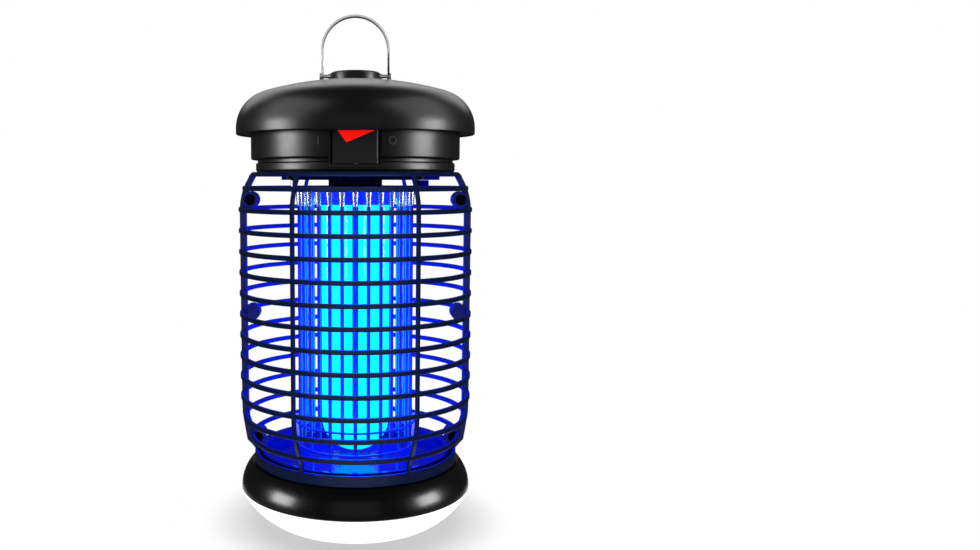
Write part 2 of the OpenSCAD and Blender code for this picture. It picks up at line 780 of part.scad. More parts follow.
module cage_rear() color("#17254f") {
    difference() {
        union() {
            cage_half(true);
            intersection() {
                radial_plate(180, spine_w) polygon(post_outline(0.3, spine_t));
                translate([-5, 40, 44.6]) cube([10, 40, neck_z - 44.6 - touch]);
            }
        }
        // Channel of the lead, open to the inside
        radial_plate(180, 5) polygon(post_outline(2.2, spine_t + 1));
    }
}

module cage_screws() color("#3a3d46") {
    for (p = [high_boss, low_boss], s = [-1, 1]) translate([s * p[0], 0, p[1]]) {
        translate([0, -boss_d + 0.3, 0]) along_y(2.7, 1.6);
        translate([0, -boss_d + 1, 0]) along_y(1.5, 11.5);
    }
}

module neck_screws() color("#3a3d46") {
    at_neck_screws() translate([0, 0, collar_ring_z]) {
        translate([0, 0, -1.6]) cylinder(r = screw_head_r, h = 1.55, $fn = 32);
        translate([0, 0, -0.6]) cylinder(r = screw_r, h = 7.5, $fn = 24);
    }
}

module led_lead() color("#101010") {
    intersection() {
        radial_plate(180, 4.4) polygon(post_outline(2.4, 4.3));
        translate([-5, 40, 44.2]) cube([10, 40, neck_z - 44.6]);
    }
}

module spring_contacts() color("#c9a24b") {
    for (s = [-1, 1]) translate([s * 1.4 - 0.8, 0, 0]) {
        translate([0, 57.35, 39.2]) cube([1.6, 0.4, 4.9]);
        translate([0, 57.35, 43.5]) cube([1.6, 0.8, 0.6]);
    }
}

// ---- Base ----

module base_shell() color("#141415") {
    inner_r = flank_r - wall;
    c = [base_r - flank_r, diffuser_h];
    outer_end = asin((base_top_z - diffuser_h) / flank_r);
    inner_end = asin((deck_z - diffuser_h) / inner_r);
    difference() {
        union() {
            rotate_extrude() polygon(concat(
                [[0, deck_z]],
                arc(c, inner_r, inner_end, 0, 8),
                [[base_r - wall, diffuser_h - touch], [base_r - 0.5, diffuser_h - touch]],
                arc(c, flank_r, 1.2, outer_end, 12),
                [[collar_r, base_top_z], [collar_r, collar_top_z], [collar_r - collar_t, collar_top_z],
                    [collar_r - collar_t, deck_z + deck_t], [0, deck_z + deck_t]]));
            for (i = [0 : lug_count - 1]) ring_sector(i * 360 / lug_count, lug_angle)
                translate([collar_r - 0.5, lug_z]) square([lug_r - collar_r + 0.5, lug_t]);
            at_base_screws() translate([0, 0, led_board_top])
                cylinder(r = 3.6, h = deck_z - led_board_top + eps, $fn = 32);
        }
        at_base_screws() translate([0, 0, led_board_top - 1]) cylinder(r = thread_r, h = 4, $fn = 24);
    }
}

module insect_tray() color("#16224a") {
    floor_top = tray_z + tray_t;
    rotate_extrude() polygon([[0, tray_z], [tray_r - 1, tray_z], [tray_r, tray_z + 1],
        [tray_r, tray_rim_z - 1.1], [collar_r + 0.1, tray_rim_z - 1.1],
        [collar_r + 0.1, tray_rim_z - 0.4], [collar_r - 0.3, tray_rim_z],
        [tray_r - 1.1, tray_rim_z], [tray_r - tray_t, tray_rim_z - 0.4],
        [tray_r - tray_t, floor_top + 1], [tray_r - tray_t - 1, floor_top], [0, floor_top]]);
}

module contact_pads() color("#c9a24b") {
    for (a = [178.6, 181.4]) ring_sector(a, 2) translate([collar_r + touch, 38.4]) square([0.4, 3.8]);
}

module led_board() color("whitesmoke") {
    difference() {
        translate([0, 0, led_board_z]) cylinder(r = 50, h = led_board_t);
        at_base_screws() translate([0, 0, led_board_z - 1]) cylinder(r = 1.6, h = 4, $fn = 24);
    }
}

module led_chips() color("#f7f0c0") {
    for (ring = [[12, 36], [6, 18]], i = [0 : ring[0] - 1])
        rotate([0, 0, (i + 0.5) * 360 / ring[0]])
            translate([ring[1] - 2.5, -2.5, led_board_z - 1.4 - touch]) cube([5, 5, 1.4]);
}

module base_screws() color("silver") {
    at_base_screws() translate([0, 0, led_board_z]) {
        translate([0, 0, -1.7]) cylinder(r = screw_head_r, h = 1.65, $fn = 32);
        translate([0, 0, -0.1]) cylinder(r = screw_r, h = 4.4, $fn = 24);
    }
}

module diffuser_seal() color("#9a9a9a") {
    rotate_extrude() translate([63.3, 25]) square([1.9, 1.2]);
}

// Quarter of a squared ellipse from the foot to the top edge, as points of radius and height
function bowl_side(r0, r1, z0, z1, n = 12) = [for (i = [0 : n])
    [r0 + (r1 - r0) * pow(sin(90 * i / n), 1.44), z0 + (z1 - z0) * (1 - pow(cos(90 * i / n), 1.44))]];

module diffuser() color("white") {
    t = 2;
    lip_z = diffuser_h - touch;
    rotate_extrude() polygon(concat(
        [[0, 0.8], [30, 0.8], [31, 0]],
        bowl_side(foot_r, diffuser_r, 0, lip_z - 0.3),
        [[diffuser_r - 0.4, lip_z - 0.1], [65.4, lip_z - 0.1], [65.4, 24.9], [63.2, 24.9]],
        reversed(bowl_side(foot_r - 1, diffuser_r - 2.6, t + 0.3, lip_z - 0.5)),
        [[0, t + 0.3]]));
}

hanging_bail();
bail_pins();
bail_hub();
hub_screw();
top_cap();
cap_seal();
cap_screws();
neck_housing();
switch_body();
switch_terminals();
switch_rocker();
rocker_indicator();
rocker_pivot();
switch_marks();
cord_gland();
gland_nut();
driver_board();
board_screws();
choke_core();
choke_winding();
film_capacitors();
terminal_block();
wiring_cover();
hv_terminal();
lamp_socket();
socket_screws();
socket_contacts();
lamp_base();
lamp_pins();
lamp_tube();
upper_insulator();
insulator_pillars();
grid_live();
grid_neutral();
wire_ferrules();
grid_spacers();
cage_front();
cage_rear();
cage_screws();
neck_screws();
led_lead();
spring_contacts();
base_shell();
insect_tray();
contact_pads();
led_board();
led_chips();
base_screws();
diffuser_seal();
diffuser();
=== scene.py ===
import json
import math

import bpy
from mathutils import Matrix, Vector

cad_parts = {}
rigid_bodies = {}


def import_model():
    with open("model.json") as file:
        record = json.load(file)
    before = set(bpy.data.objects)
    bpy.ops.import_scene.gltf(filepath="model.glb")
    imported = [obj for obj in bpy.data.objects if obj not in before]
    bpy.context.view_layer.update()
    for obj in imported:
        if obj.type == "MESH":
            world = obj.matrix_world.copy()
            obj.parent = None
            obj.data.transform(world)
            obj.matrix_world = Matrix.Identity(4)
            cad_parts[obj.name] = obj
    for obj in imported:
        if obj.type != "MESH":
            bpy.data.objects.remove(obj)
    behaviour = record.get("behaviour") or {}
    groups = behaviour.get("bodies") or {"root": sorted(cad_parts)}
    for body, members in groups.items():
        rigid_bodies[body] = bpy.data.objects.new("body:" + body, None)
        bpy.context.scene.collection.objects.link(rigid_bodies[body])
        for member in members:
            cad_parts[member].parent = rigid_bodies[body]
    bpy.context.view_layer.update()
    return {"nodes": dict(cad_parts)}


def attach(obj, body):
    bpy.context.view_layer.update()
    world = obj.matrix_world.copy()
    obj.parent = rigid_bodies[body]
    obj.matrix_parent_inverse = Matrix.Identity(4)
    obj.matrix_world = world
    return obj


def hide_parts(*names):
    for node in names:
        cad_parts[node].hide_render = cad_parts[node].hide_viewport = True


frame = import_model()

bpy.ops.object.select_all(action="DESELECT")

# ---- Camera ----
# It stands half a metre in front of the switch, a little above the middle, and looks slightly down.
camera_data = bpy.data.cameras.new("camera")
camera_data.lens = 33.98
camera_data.sensor_width = 36
camera_data.shift_x = 0.1374
camera_data.shift_y = 0.0051
camera = bpy.data.objects.new("camera", camera_data)
camera.location = (0, -0.546, 0.203)
camera.rotation_euler = (math.radians(90 - 6.17), 0, 0)
bpy.context.scene.collection.objects.link(camera)
bpy.context.scene.camera = camera
bpy.context.scene.view_settings.view_transform = "Standard"


# ---- Studio ----
# White paper all round, a tall soft panel at either side, and a large one behind and above that
# lays a pale band on the crown.
def linear(code):
    """Colour of an sRGB hex code in linear light, with full alpha."""
    parts = [int(code[i : i + 2], 16) / 255 for i in (1, 3, 5)]
    return [c / 12.92 if c <= 0.04045 else ((c + 0.055) / 1.055) ** 2.4 for c in parts] + [1.0]


def add(tree, kind, settings=None, inputs=None):
    """Adds a shader node with its settings; an input takes a constant or the socket that feeds it."""
    made = tree.nodes.new(kind)
    for key, value in (settings or {}).items():
        setattr(made, key, value)
    for key, value in (inputs or {}).items():
        if isinstance(value, bpy.types.NodeSocket):
            tree.links.new(value, made.inputs[key])
        else:
            made.inputs[key].default_value = value
    return made


world = bpy.data.worlds.new("studio")
world.use_nodes = True
bpy.context.scene.world = world
sky = world.node_tree
sky.nodes.clear()
ray = add(sky, "ShaderNodeLightPath")
room = add(sky, "ShaderNodeBackground", inputs={"Color": linear("#ffffff"), "Strength": 0.03})
paper = add(sky, "ShaderNodeBackground", inputs={"Color": linear("#ffffff"), "Strength": 1.0})
seen = add(sky, "ShaderNodeMixShader",
           inputs={0: ray.outputs["Is Camera Ray"], 1: room.outputs[0], 2: paper.outputs[0]})
add(sky, "ShaderNodeOutputWorld", inputs={"Surface": seen.outputs[0]})


def panel(name, place, size, watts, aim=(0, 0, 0.14)):
    """A soft rectangular studio light that faces the lantern."""
    lamp = bpy.data.lights.new(name, "AREA")
    lamp.shape = "RECTANGLE"
    lamp.size, lamp.size_y = size
    lamp.energy = watts
    light = bpy.data.objects.new(name, lamp)
    light.location = place
    light.rotation_euler = (Vector(aim) - Vector(place)).to_track_quat("-Z", "Y").to_euler()
    light.visible_camera = False
    bpy.context.scene.collection.objects.link(light)
    return light


studio = []
for side in (-1, 1):
    studio.append(panel(f"panel_low_{side}", (side * 1.3, -0.35, 0.27), (0.55, 0.5), 11))
    studio.append(panel(f"panel_high_{side}", (side * 1.0, -0.27, 1.05), (1.2, 1.1), 6,
                        aim=(0, 0, 0.24)))
studio.append(panel("panel_back", (0, 1.25, 1.08), (2.4, 0.8), 8, aim=(0, 0, 0.26)))
studio.append(panel("panel_front", (0, -1.6, 0.4), (1.4, 1.2), 1))


# ---- Floor ----
# A pale paper sheet that fades into the white surroundings.
def new_material(name):
    """An empty node material and its tree."""
    material = bpy.data.materials.new(name)
    material.use_nodes = True
    material.node_tree.nodes.clear()
    return material, material.node_tree


bpy.ops.mesh.primitive_circle_add(vertices=96, radius=2.5, fill_type="NGON", location=(0, 0, -0.0002))
floor = bpy.context.object
floor.name = "floor"
bpy.ops.object.transform_apply(location=True)
paper_sheet, tree = new_material("pale_paper_sheet")
place = add(tree, "ShaderNodeTexCoord").outputs["Object"]
distance = add(tree, "ShaderNodeVectorMath", {"operation": "LENGTH"}, {0: place})
fade = add(tree, "ShaderNodeMapRange", {"interpolation_type": "SMOOTHSTEP"},
           {"Value": distance.outputs["Value"], "From Min": 0.045, "From Max": 0.095})
sheet = add(tree, "ShaderNodeBsdfDiffuse", inputs={"Color": linear("#b4b4b4")})
lift = add(tree, "ShaderNodeEmission", inputs={"Color": linear("#ffffff"), "Strength": 0.15})
near = add(tree, "ShaderNodeAddShader", inputs={0: sheet.outputs[0], 1: lift.outputs[0]})
far = add(tree, "ShaderNodeEmission", inputs={"Color": linear("#ffffff"), "Strength": 1.0})
both = add(tree, "ShaderNodeMixShader",
           inputs={0: fade.outputs["Result"], 1: near.outputs[0], 2: far.outputs[0]})
add(tree, "ShaderNodeOutputMaterial", inputs={"Surface": both.outputs[0]})
floor.data.materials.append(paper_sheet)
floor.visible_glossy = False
floor.visible_diffuse = False
bpy.ops.mesh.primitive_circle_add(vertices=96, radius=0.12, fill_type="NGON", location=(0, 0, -0.0001))
near_floor = bpy.context.object
near_floor.name = "floor_under_lantern"
bpy.ops.object.transform_apply(location=True)
near_floor.data.materials.append(paper_sheet)
near_floor.visible_diffuse = False


# ---- Top cap ----
# Dome with a drip skirt, injection moulded in black ABS. Four screws from below hold it on the
# neck.
MM = 0.001
DRIFT_MM = 28


def finish(name, tones, roughness, grain_mm, relief_mm, metallic=0.0, ior=1.5, stretch=(1, 1, 1),
           glow=None, strength=0.0):
    """A surface whose tone drifts slowly, with roughness and relief at the size of its grain."""
    material, tree = new_material(name)
    place = add(tree, "ShaderNodeTexCoord").outputs["Object"]
    grid = add(tree, "ShaderNodeMapping",
               inputs={"Vector": place, "Scale": [s / MM for s in stretch]}).outputs[0]
    drift = add(tree, "ShaderNodeTexNoise",
                inputs={"Vector": grid, "Scale": 1 / DRIFT_MM, "Detail": 3.0})
    tone = add(tree, "ShaderNodeMix", {"data_type": "RGBA"},
               {0: drift.outputs[0], 6: linear(tones[0]), 7: linear(tones[1])})
    grain = add(tree, "ShaderNodeTexNoise",
                inputs={"Vector": grid, "Scale": 1 / grain_mm, "Detail": 4.0})
    gloss = add(tree, "ShaderNodeMapRange",
                inputs={"Value": grain.outputs[0], "From Min": 0.3, "From Max": 0.7,
                        "To Min": roughness[0], "To Max": roughness[1]})
    relief = add(tree, "ShaderNodeBump", inputs={"Height": grain.outputs[0], "Distance": relief_mm * MM})
    skin = add(tree, "ShaderNodeBsdfPrincipled",
               inputs={"Base Color": tone.outputs[2], "Roughness": gloss.outputs[0],
                       "Normal": relief.outputs[0], "Metallic": metallic, "IOR": ior})
    if glow:
        skin.inputs["Emission Color"].default_value = linear(glow)
        skin.inputs["Emission Strength"].default_value = strength
    add(tree, "ShaderNodeOutputMaterial", inputs={"Surface": skin.outputs[0]})
    return material


def begin(name):
    """Opens a new piece in edit mode with one vertex at the origin, selected."""
    bpy.ops.object.select_all(action="DESELECT")
    bpy.ops.mesh.primitive_plane_add(size=MM)
    piece = bpy.context.object
    piece.name = piece.data.name = name
    bpy.ops.object.mode_set(mode="EDIT")
    bpy.ops.mesh.merge(type="CENTER")
    return piece


def trace(points):
    """Moves the selected vertex to the first point and extrudes it on through the others, in mm."""
    here = Vector((0, 0, 0))
    for i, point in enumerate(points):
        step = Vector(point) * MM - here
        if i:
            bpy.ops.mesh.extrude_region_move(TRANSFORM_OT_translate={"value": step})
        else:
            bpy.ops.transform.translate(value=step)
        here += step


def settle(piece):
    """Merges doubles, turns every face outwards and leaves edit mode."""
    bpy.ops.mesh.select_all(action="SELECT")
    bpy.ops.mesh.remove_doubles(threshold=1e-6)
    bpy.ops.mesh.dissolve_degenerate(threshold=1e-7)
    bpy.ops.mesh.normals_make_consistent(inside=False)
    bpy.ops.object.mode_set(mode="OBJECT")


def turned(name, outline, steps=160):
    """Spins a closed outline of (radius, height) round the lantern's axis."""
    piece = begin(name)
    trace([(0, -r, z) for r, z in outline + outline[:1]])
    bpy.ops.mesh.select_all(action="SELECT")
    bpy.ops.mesh.spin(steps=steps, angle=math.tau, center=(0, 0, 0), axis=(0, 0, 1))
    settle(piece)
    return piece


def apply_modifier(piece, kind, **settings):
    """Adds one modifier and applies it."""
    bpy.ops.object.select_all(action="DESELECT")
    piece.select_set(True)
    bpy.context.view_layer.objects.active = piece
    modifier = piece.modifiers.new(kind.lower(), kind)
    for key, value in settings.items():
        setattr(modifier, key, value)
    bpy.ops.object.modifier_apply(modifier=modifier.name)


def soften(piece, width_mm, segments=3, angle=32):
    """Rounds the edges as a mould or a press leaves them, and shades the flats flat."""
    apply_modifier(piece, "BEVEL", width=width_mm * MM, segments=segments, limit_method="ANGLE",
                   angle_limit=math.radians(angle))
    bpy.ops.object.shade_smooth_by_angle(angle=math.radians(40))
    apply_modifier(piece, "WEIGHTED_NORMAL", keep_sharp=True)


def arc(centre, radius, start, end, count):
    """Points of an arc in the plane of an outline, in degrees from the radius axis."""
    turns = [math.radians(start + (end - start) * i / count) for i in range(count + 1)]
    return [(centre[0] + radius * math.cos(t), centre[1] + radius * math.sin(t)) for t in turns]


CAP_R = 69.2
CAP_RIM_Z = 228.7
CAP_WALL = 2.4
CROWN_Z, CROWN_R = 260.8, 192.3
SHOULDER_R = 21.6
SHOULDER = (CAP_R - SHOULDER_R, 232.4)
tangent = math.degrees(math.asin(SHOULDER[0] / (CROWN_R - SHOULDER_R)))


def dome(inset):
    """Half outline of the dome from the crown to the rim, moved inwards by inset."""
    return (arc((0, CROWN_Z - CROWN_R), CROWN_R - inset, 90, 90 - tangent, 14)
            + arc(SHOULDER, SHOULDER_R - inset, 90 - tangent, 0, 22)[1:])


cap = turned("dome_cap", dome(0) + arc((CAP_R - 0.9, CAP_RIM_Z + 0.9), 0.9, 0, -90, 5)
             + arc((CAP_R - CAP_WALL + 0.4, CAP_RIM_Z + 0.4), 0.4, -90, -180, 3) + dome(CAP_WALL)[::-1])
bpy.ops.object.shade_smooth_by_angle(angle=math.radians(40))
# Fine eroded mould texture: broad soft highlights on black.
satin_abs = finish("satin_black_abs", ("#0b0b0c", "#101011"), (0.28, 0.38), 0.8, 0.010, ior=1.53)
cap.data.materials.append(satin_abs)
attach(cap, "housing")
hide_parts("top_cap")


# ---- Bail and its hub ----
# A strip of stainless steel bent over a former and brushed along its length, hung on two rivets
# in a round black puck that a screw holds on the crown.
nodes = frame["nodes"]


def dress(material, *names):
    """Gives CAD nodes their finish."""
    for name in names:
        nodes[name].data.materials.clear()
        nodes[name].data.materials.append(material)


PIVOT_Z = 262.7
BAIL_HALF, BAIL_T, BAIL_W, BAIL_LEG = 19.7, 1.3, 4.6, 15
middle = BAIL_HALF - BAIL_T / 2

bpy.ops.object.select_all(action="DESELECT")
bpy.ops.mesh.primitive_plane_add(size=MM, location=(middle * MM, 0, PIVOT_Z * MM))
bail = bpy.context.object
bail.name = "bail_strip"
bpy.ops.object.transform_apply(location=True)
bpy.ops.object.mode_set(mode="EDIT")
bpy.ops.transform.resize(value=(BAIL_T, BAIL_W, 1))
bpy.ops.mesh.extrude_region_move(TRANSFORM_OT_translate={"value": (0, 0, BAIL_LEG * MM)})
bpy.ops.mesh.spin(steps=64, angle=math.pi, center=(0, 0, (PIVOT_Z + BAIL_LEG) * MM), axis=(0, 1, 0))
bpy.ops.mesh.extrude_region_move(TRANSFORM_OT_translate={"value": (0, 0, -BAIL_LEG * MM)})
for side in (-1, 1):
    bpy.ops.mesh.primitive_cylinder_add(vertices=40, radius=BAIL_W / 2 * MM, depth=BAIL_T * MM,
                                        location=(side * middle * MM, 0, PIVOT_Z * MM),
                                        rotation=(0, math.pi / 2, 0))
settle(bail)
soften(bail, 0.3, segments=2)
# The brushing draws the grain out along the legs, so highlights run in soft streaks.
brushed = finish("brushed_stainless", ("#c2c4c6", "#dadcde"), (0.3, 0.42), 0.35, 0.0008, metallic=1.0,
                 stretch=(1, 1, 0.05))
bail.data.materials.append(brushed)
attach(bail, "bail")
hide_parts("hanging_bail")
dress(brushed, "bail_pins", "rocker_pivot")

HUB_R, HUB_TOP = 14.4, 265
hub = turned("hub_puck", [(0, 259.75), (HUB_R - 0.2, 259.75), (HUB_R, 259.95)]
             + arc((HUB_R - 1.3, HUB_TOP - 1.3), 1.3, 0, 90, 6)
             + [(11.6, HUB_TOP), (11.2, HUB_TOP - 0.15), (11, HUB_TOP - 0.6), (3.2, HUB_TOP - 0.6),
                (3, HUB_TOP - 0.3), (0, HUB_TOP - 0.25)], steps=96)
bpy.ops.object.shade_smooth_by_angle(angle=math.radians(35))
hub.data.materials.append(satin_abs)
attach(hub, "housing")
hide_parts("bail_hub")

# ---- Neck housing ----
# Moulded in the same black ABS: floor, groove, main band and upper flange in one piece, with a
# notch in front for the switch and a hole behind for the mains gland.
NECK_Z, NECK_R, FLANGE_Z = 207.6, 60.7, 229.3
neck = turned("neck_band", [(0, NECK_Z), (56.4, NECK_Z)] + arc((56.6, NECK_Z + 1.3), 1.3, -90, 0, 5)
              + arc((57.3, 212.0), 0.6, 0, 90, 3) + [(56.8, 212.9), (56.8, 214.4), (59.2, 214.4)]
              + arc((59.4, 215.7), 1.3, -90, 0, 5) + [(NECK_R, FLANGE_Z), (66.0, FLANGE_Z)]
              + arc((66.0, FLANGE_Z + 0.4), 0.4, -90, 0, 3) + arc((66.0, 231.9), 0.4, 0, 90, 3)
              + [(61.1, 232.3), (61.1, 236.5), (58.3, 236.5), (58.3, 217), (54.6, 214.8), (54.6, 209.6),
                 (0, 209.6)])
NOTCH_HALF, NOTCH_DEPTH, NOTCH_H = 13.95, 20, 19.7
GLAND_Z, GLAND_HOLE_R = 222.2, 5.1
SOCKET_HOLE = (31.4, 19.4, 8)
bpy.ops.mesh.primitive_cube_add(size=MM, location=(0, -0.058, 0.21945))
notch = bpy.context.object
notch.scale = (2 * NOTCH_HALF, NOTCH_DEPTH, NOTCH_H)
bpy.ops.mesh.primitive_cylinder_add(vertices=48, radius=GLAND_HOLE_R * MM, depth=0.03,
                                    location=(0, 0.058, GLAND_Z * MM), rotation=(math.pi / 2, 0, 0))
gland_hole = bpy.context.object
bpy.ops.mesh.primitive_cube_add(size=MM, location=(0, 0, NECK_Z * MM))
socket_hole = bpy.context.object
socket_hole.scale = SOCKET_HOLE
for cutter in (notch, gland_hole, socket_hole):
    apply_modifier(neck, "BOOLEAN", object=cutter, operation="DIFFERENCE", solver="EXACT")
    bpy.data.objects.remove(cutter)
bpy.ops.object.shade_smooth_by_angle(angle=math.radians(35))
neck.data.materials.append(satin_abs)
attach(neck, "housing")
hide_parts("neck_housing")

# ---- Switch ----
# A wide rocker of black nylon, spark eroded in the mould to a dull face, with a glossy red wedge
# let in under its upper edge. The stroke and the ring beside it are moulded on the neck.
# Dull enough to show hardly any highlight.
dull_nylon = finish("dull_black_nylon", ("#151515", "#191919"), (0.5, 0.62), 0.5, 0.012)
dress(dull_nylon, "switch_body", "switch_rocker")
# Saturated red with a painted glow, so it stays bright in the shade of the cap's rim.
red_with_painted_glow = finish("red_abs_painted_glow", ("#f00800", "#fa0c02"), (0.4, 0.5), 1.0, 0.002, glow="#ff0600",
                   strength=0.75)
dress(red_with_painted_glow, "rocker_indicator")
# Painted highlight: a shade paler than the neck, as light catching the raised marks, so they only just
# show.
marks_painted_highlight = finish("marks_abs_painted_highlight", ("#343436", "#3c3c3e"), (0.42, 0.5), 0.8, 0.004)
dress(marks_painted_highlight, "switch_marks")
# Plain moulded nylon with a low sheen.
black_nylon = finish("black_nylon", ("#131314", "#1a1a1b"), (0.42, 0.54), 0.8, 0.01)
dress(black_nylon, "cord_gland", "gland_nut", "led_lead", "cap_seal")

# ---- Electronics on the neck's floor ----
# A ballast choke, the film capacitors of the voltage multiplier and the mains terminals on one
# board, all inside the neck.
# Pale grey metal with a soft, slightly cloudy shine.
zinc = finish("zinc_plated_steel", ("#b4b7bb", "#c6c9cc"), (0.3, 0.42), 1.0, 0.005, metallic=1.0)
dress(zinc, "hub_screw", "cap_screws", "board_screws", "socket_screws", "insulator_pillars",
      "base_screws")
# Drawn smooth: warm yellow with clear highlights.
brass = finish("drawn_brass", ("#c59a4a", "#d2aa5c"), (0.25, 0.38), 1.0, 0.005, metallic=1.0)
dress(brass, "switch_terminals", "socket_contacts", "lamp_pins", "spring_contacts", "contact_pads")
# Lacquered green board with a wet-looking gloss.
solder_mask = finish("green_solder_mask", ("#0e4a22", "#12552a"), (0.3, 0.4), 2.0, 0.01)
dress(solder_mask, "driver_board")
# Fired and ground: dark grey, dry and finely grained.
ferrite = finish("sintered_ferrite", ("#26262a", "#303035"), (0.5, 0.65), 0.4, 0.01)
dress(ferrite, "choke_core")
# Lacquered wire: copper brown with fine ridges round the core.
winding = finish("enamelled_copper", ("#9c4a20", "#b0602c"), (0.25, 0.35), 0.5, 0.03, metallic=0.6,
                 stretch=(0.2, 0.2, 1))
dress(winding, "choke_winding")
# Dipped coating: smooth rusty brown with a rounded gloss.
resin = finish("dipped_resin", ("#8c3a18", "#a04820"), (0.2, 0.3), 1.5, 0.02)
dress(resin, "film_capacitors")
# Undyed nylon: off-white and matt.
polyamide = finish("natural_polyamide", ("#cfcfc6", "#dadad2"), (0.45, 0.55), 1.0, 0.01)
dress(polyamide, "terminal_block", "led_board", "led_chips", "diffuser_seal")

# ---- Socket, wiring cover and insulator ----
# Blue ABS mouldings under the neck: the box that the lamp plugs into, the flat cover of the wiring
# and the disc that carries the grid.
# Moulded smooth: a deep blue with a clear gloss.
blue_abs = finish("deep_blue_abs", ("#16286e", "#1a2e78"), (0.2, 0.3), 1.2, 0.008, ior=1.53)
dress(blue_abs, "lamp_socket", "upper_insulator", "wiring_cover", "hv_terminal")

# ---- Lamp ----
# A plug-in ultraviolet tube bent to a U, lit, in a white PBT base with four brass pins.
# White PBT, its colour painted pale blue as the light of the lit tube falling on it.
lamp_pbt_painted_blue = finish("pbt_painted_blue_light", ("#aab4ff", "#b0baff"), (0.25, 0.35), 1.2, 0.006)
dress(lamp_pbt_painted_blue, "lamp_base")
# Smooth glass, evenly bright all over, as the phosphor behind it glows.
lit_glass = finish("lit_lamp_glass", ("#20c8ff", "#28d0ff"), (0.08, 0.12), 6, 0.002, glow="#00f8ff",
                   strength=1.0)
dress(lit_glass, "lamp_tube")

# ---- Killing grid ----
# Drawn steel wires, zinc plated, welded by turns to two rings; bright flared collars seat them in
# the disc, and glazed blocks hold the rings apart.
# Bluish metal whose highlight is a thin line down each wire.
plated_wire = finish("plated_steel_wire", ("#9fb0f0", "#b4c2fa"), (0.3, 0.42), 0.8, 0.004, metallic=1.0)
dress(plated_wire, "grid_live", "grid_neutral")
# Turned and polished: nearly white glints.
bright_steel = finish("bright_turned_steel", ("#e8ecf8", "#f4f6ff"), (0.2, 0.3), 0.8, 0.003,
                      metallic=1.0)
dress(bright_steel, "wire_ferrules")
# Glaze over white ceramic: small sharp highlights.
steatite = finish("glazed_steatite", ("#dfe4f6", "#eaeef8"), (0.12, 0.2), 2.0, 0.004)
dress(steatite, "grid_spacers")

# ---- Cage ----
# Two half shells moulded in navy ABS: thirteen hoops on flat posts, a ring at the foot and one
# under the neck, seam ribs with screw bosses, and a cable channel down the back.
RING_R, RING_IN_R, SEAM_Z, RING_TOP = 60.3, 58.3, 37.1, 43.3
CAGE_R = 67.9
HOOPS, HOOP_FIRST, HOOP_LAST = 13, 51.8, 198.2
HOOP_H, HOOP_T, HOOP_OUT = 2.7, 2.3, 0.4
POST_W, POST_T = 2.1, 2.2
HALF_SEAM, SEAM_DEPTH = 2.1, 3.9
UPPER_BEND_Z, UPPER_BEND_R = 185, 38
LOWER_BEND_Z, LOWER_BEND_R = 78, 62
TOP_Z = NECK_Z - 0.05


def post_r(z):
    """Outer radius of the posts at a height: straight in the middle, drawn in at both ends."""
    if z > UPPER_BEND_Z:
        return CAGE_R - UPPER_BEND_R + math.sqrt(UPPER_BEND_R**2 - (z - UPPER_BEND_Z) ** 2)
    if z < LOWER_BEND_Z:
        drawn_in = CAGE_R - LOWER_BEND_R + math.sqrt(LOWER_BEND_R**2 - (z - LOWER_BEND_Z) ** 2)
        return max(RING_R, drawn_in)
    return CAGE_R


def sector(name, steps, sweep, *outlines, start=0.0):
    """Closed outlines of (radius, height), each spun through part of a turn, clockwise from above."""
    piece = begin(name)
    for i, outline in enumerate(outlines):
        if i:
            bpy.ops.mesh.select_all(action="DESELECT")
            bpy.ops.mesh.primitive_plane_add(size=MM)
            bpy.ops.mesh.merge(type="CENTER")
        a = math.radians(start)
        trace([(r * math.cos(a), r * math.sin(a), z) for r, z in outline])
        bpy.ops.mesh.select_linked()
        bpy.ops.mesh.edge_face_add()
    bpy.ops.mesh.select_all(action="SELECT")
    bpy.ops.mesh.spin(steps=steps, angle=math.radians(sweep), center=(0, 0, 0), axis=(0, 0, 1))
    settle(piece)
    return piece


def plate(name, outline, width, angle, at=0.0):
    """A closed outline of (radius, height), as a plate set radially at an angle from the front."""
    piece = begin(name)
    trace([(at - width / 2, -r, z) for r, z in outline])
    bpy.ops.mesh.select_all(action="SELECT")
    bpy.ops.mesh.edge_face_add()
    bpy.ops.mesh.extrude_region_move(TRANSFORM_OT_translate={"value": (width * MM, 0, 0)})
    settle(piece)
    piece.data.transform(Matrix.Rotation(math.radians(angle), 4, "Z"))
    return piece


def rod(name, radius, start, end, vertices=32):
    """A round bar between two points."""
    a, b = Vector(start) * MM, Vector(end) * MM
    bpy.ops.object.select_all(action="DESELECT")
    bpy.ops.mesh.primitive_cylinder_add(vertices=vertices, radius=radius * MM, depth=(b - a).length,
                                        location=(a + b) / 2,
                                        rotation=(b - a).to_track_quat("Z", "Y").to_euler())
    piece = bpy.context.object
    piece.name = name
    bpy.ops.object.transform_apply(location=True, rotation=True)
    return piece


def united(name, parts):
    """Joins the parts of one moulding into one piece."""
    bpy.ops.object.select_all(action="DESELECT")
    for part in parts:
        part.select_set(True)
    bpy.context.view_layer.objects.active = parts[0]
    bpy.ops.object.join()
    parts[0].name = parts[0].data.name = name
    return parts[0]


low_steps = [47.3 + 3.07 * i for i in range(11)]
high_steps = [UPPER_BEND_Z + 2.75 * i for i in range(8)]
post_steps = [42.6] + low_steps + high_steps + [TOP_Z]


def post_outline(outer, inner, steps=post_steps):
    """Outline of a post seen from its side, between two depths under its outer face."""
    return [(post_r(z) - outer, z) for z in steps] + [(post_r(z) - inner, z) for z in steps[::-1]]


def hoop_outline(z):
    """Four-cornered section of one hoop, standing a little proud of the posts."""
    face_r, low, high = post_r(z) + HOOP_OUT, z - HOOP_H / 2, z + HOOP_H / 2
    return [(face_r - HOOP_T, low), (face_r, low), (face_r, high), (face_r - HOOP_T, high)]


